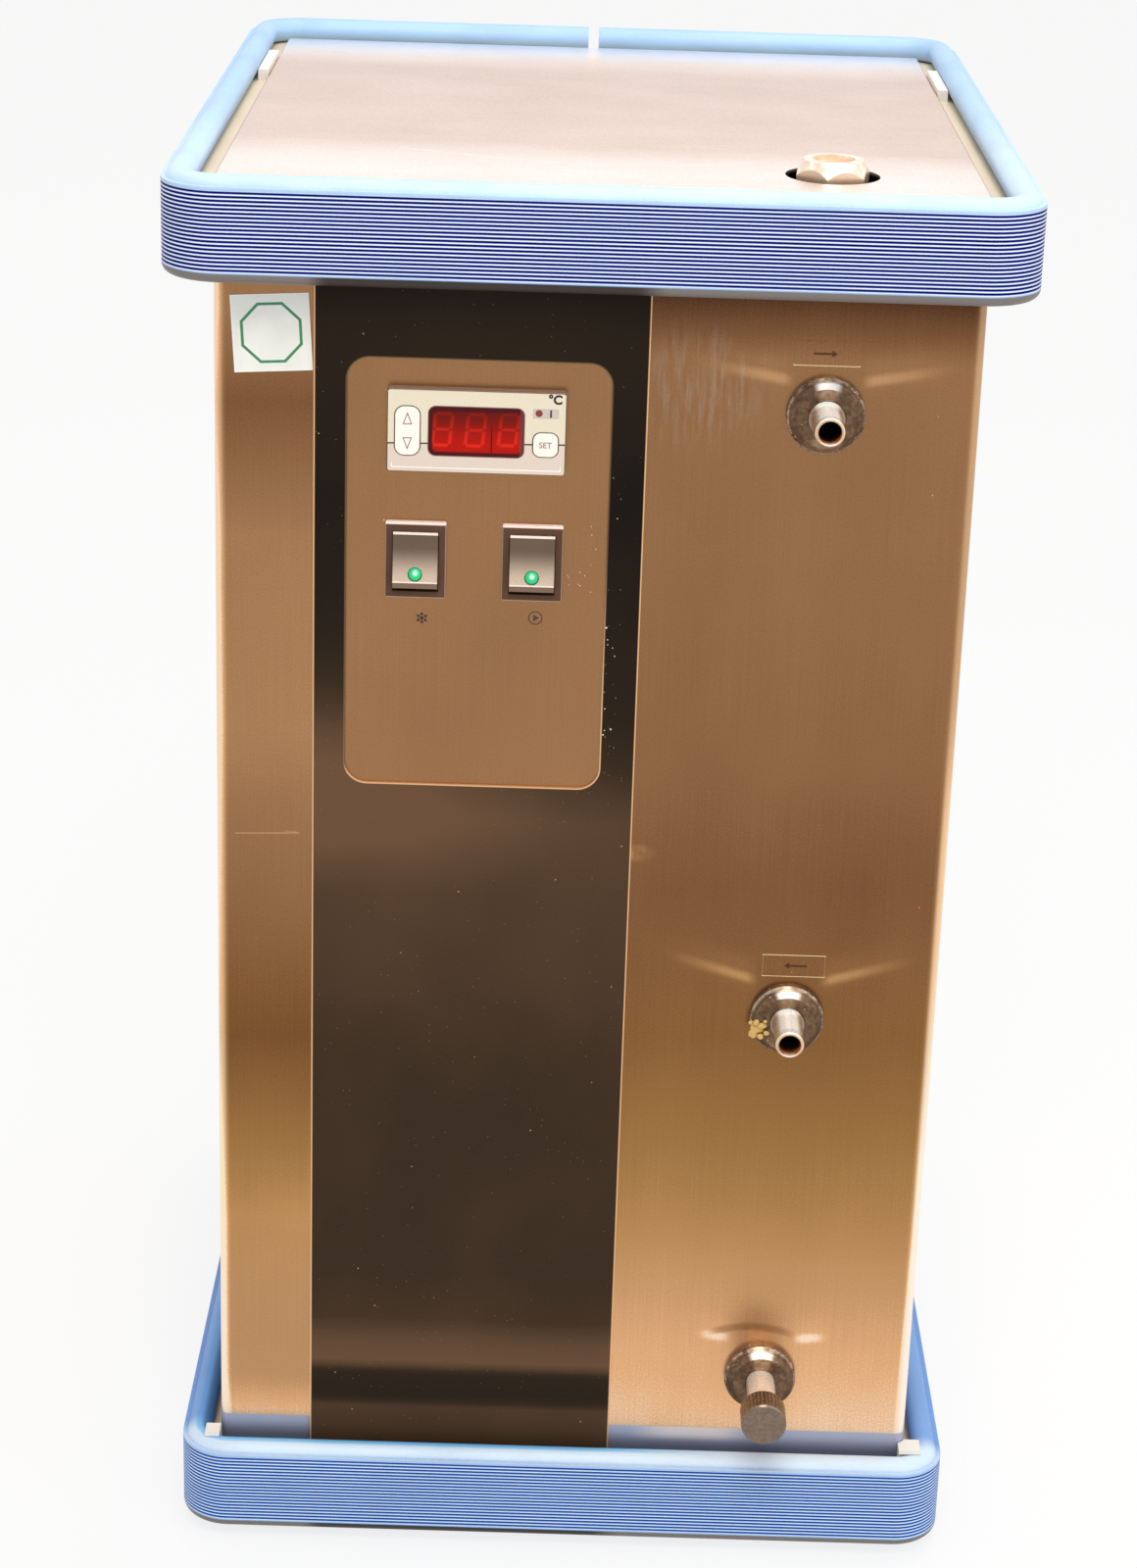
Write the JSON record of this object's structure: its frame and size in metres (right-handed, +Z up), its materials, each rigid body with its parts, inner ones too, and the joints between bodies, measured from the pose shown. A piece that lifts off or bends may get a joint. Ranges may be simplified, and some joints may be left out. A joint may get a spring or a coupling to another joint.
{
  "type": "recirculating chiller",
  "caption": "Recirculating water chiller in a brushed steel casing with blue wrap-round bumpers, a black control fascia, rocker switches and front hose ports.",
  "frame": {"origin": "on the floor under the centre of the whole chiller's bounding box; the front steel sheet is 193 mm in front of it", "axes": "+X to the right seen from the front, +Y to the rear, +Z up"},
  "size_m": [0.374, 0.478, 0.6605],
  "materials": {
    "stainless": "brushed",
    "galvanised": "plain zinc",
    "black_fascia": "satin with dust",
    "blue_pvc": "satin",
    "white_plastic": "matte",
    "black_rubber": "matte",
    "sticker_paper": "semi-gloss print",
    "dark_plastic": "fine texture",
    "cream_plastic": "satin",
    "display_red": "gloss",
    "key_print": "satin",
    "rocker_plastic": "satin",
    "green_lens": "gloss",
    "flange_plastic": "matte, speckled",
    "nipple_steel": "turned",
    "knurled_steel": "knurled",
    "brass": "plain",
    "copper": "plain copper",
    "tank_steel": "brushed",
    "natural_plastic": "matte",
    "cap_metal": "polished",
    "probe_steel": "plain",
    "pump_plastic": "matte",
    "motor_paint": "satin",
    "compressor_paint": "gloss black",
    "fin_aluminium": "plain",
    "screw_steel": "bright",
    "socket_plastic": "matte"
  },
  "bodies": {
    "chiller": {"base_tray": "galvanised", "rubber_feet": "black_rubber", "casing_shell": "stainless", "fascia_plate": "black_fascia", "rear_panel": "stainless", "casing_screws": "screw_steel", "lid": "stainless", "mid_shelf": "galvanised", "top_bumper_rail": "stainless", "bottom_bumper_rail": "stainless", "top_bumper": "blue_pvc", "bottom_bumper": "blue_pvc", "bumper_blocks": "white_plastic", "octagon_sticker": "sticker_paper", "controller_housing": "dark_plastic", "controller_bezel": "dark_plastic", "controller_face": "cream_plastic", "display_window": "display_red", "cooling_switch_body": "dark_plastic", "pump_switch_body": "dark_plastic", "inlet_flange": "flange_plastic", "outlet_flange": "flange_plastic", "drain_flange": "flange_plastic", "inlet_nipple": "nipple_steel", "outlet_nipple": "nipple_steel", "port_lock_nuts": "brass", "tank": "tank_steel", "tank_cover": "natural_plastic", "temperature_probe": "probe_steel", "pump_housing": "pump_plastic", "pump_motor": "motor_paint", "suction_hose": "black_rubber", "supply_hose": "black_rubber", "return_hose": "black_rubber", "drain_hose": "black_rubber", "hose_clamps": "screw_steel", "evaporator_coil": "copper", "compressor": "compressor_paint", "compressor_mounts": "black_rubber", "condenser_coil": "copper", "condenser_fins": "fin_aluminium", "fan_shroud": "galvanised", "fan_motor": "motor_paint", "filter_drier": "copper", "liquid_lines": "copper", "suction_line": "copper", "discharge_line": "copper", "power_socket": "socket_plastic"},
    "cooling_rocker": {"cooling_switch_rocker": "rocker_plastic", "cooling_switch_lens": "green_lens"},
    "pump_rocker": {"pump_switch_rocker": "rocker_plastic", "pump_switch_lens": "green_lens"},
    "level_button": {"level_key": "key_print"},
    "set_button": {"set_key": "key_print"},
    "filler_travel": {"filler_seal": "black_rubber"},
    "filler_cap": {"filler_cap": "cap_metal"},
    "drain_travel": {"drain_seal": "black_rubber"},
    "drain_plug": {"drain_plug": "knurled_steel"},
    "fan": {"fan_blades": "pump_plastic"},
    "impeller": {"pump_impeller": "natural_plastic"}
  },
  "joints": [
    {"name": "cooling_rocker_tilt", "type": "hinge", "parent": "chiller", "child": "cooling_rocker", "pos_m": [-0.077, -0.189, 0.491], "axis": [1, 0, 0], "range_deg": [0, 14]},
    {"name": "pump_rocker_tilt", "type": "hinge", "parent": "chiller", "child": "pump_rocker", "pos_m": [-0.026, -0.189, 0.491], "axis": [1, 0, 0], "range_deg": [0, 14]},
    {"name": "level_key_tilt", "type": "hinge", "parent": "chiller", "child": "level_button", "pos_m": [-0.0811, -0.1967, 0.5508], "axis": [1, 0, 0], "range_deg": [-2, 2], "stiffness_Nm_per_rad": 0.2},
    {"name": "set_key_press", "type": "slide", "parent": "chiller", "child": "set_button", "axis": [0, 1, 0], "range_m": [0, 0.0005], "stiffness_N_per_m": 1500},
    {"name": "filler_cap_rise", "type": "slide", "parent": "chiller", "child": "filler_travel", "axis": [0, 0, 1], "range_m": [0, 0.006]},
    {"name": "filler_cap_turn", "type": "hinge", "parent": "filler_travel", "child": "filler_cap", "pos_m": [0.101, -0.121, 0.647], "axis": [0, 0, 1], "range_deg": [0, 720]},
    {"name": "drain_plug_travel", "type": "slide", "parent": "chiller", "child": "drain_travel", "axis": [0, -1, 0], "range_m": [0, 0.006]},
    {"name": "drain_plug_turn", "type": "hinge", "parent": "drain_travel", "child": "drain_plug", "pos_m": [0.0935, -0.213, 0.0886], "axis": [0, -1, 0], "range_deg": [0, 720]},
    {"name": "fan_spin", "type": "hinge", "parent": "chiller", "child": "fan", "pos_m": [-0.035, 0.138, 0.1505], "axis": [0, 1, 0], "continuous": true},
    {"name": "impeller_spin", "type": "hinge", "parent": "chiller", "child": "impeller", "pos_m": [0.105, -0.028, 0.062], "axis": [0, 0, 1], "continuous": true}
  ],
  "couplings": [
    {"joint": "filler_cap_turn", "follows": "filler_cap_rise", "rad_per_m": 2094.4},
    {"joint": "drain_plug_turn", "follows": "drain_plug_travel", "rad_per_m": 2094.4}
  ]
}
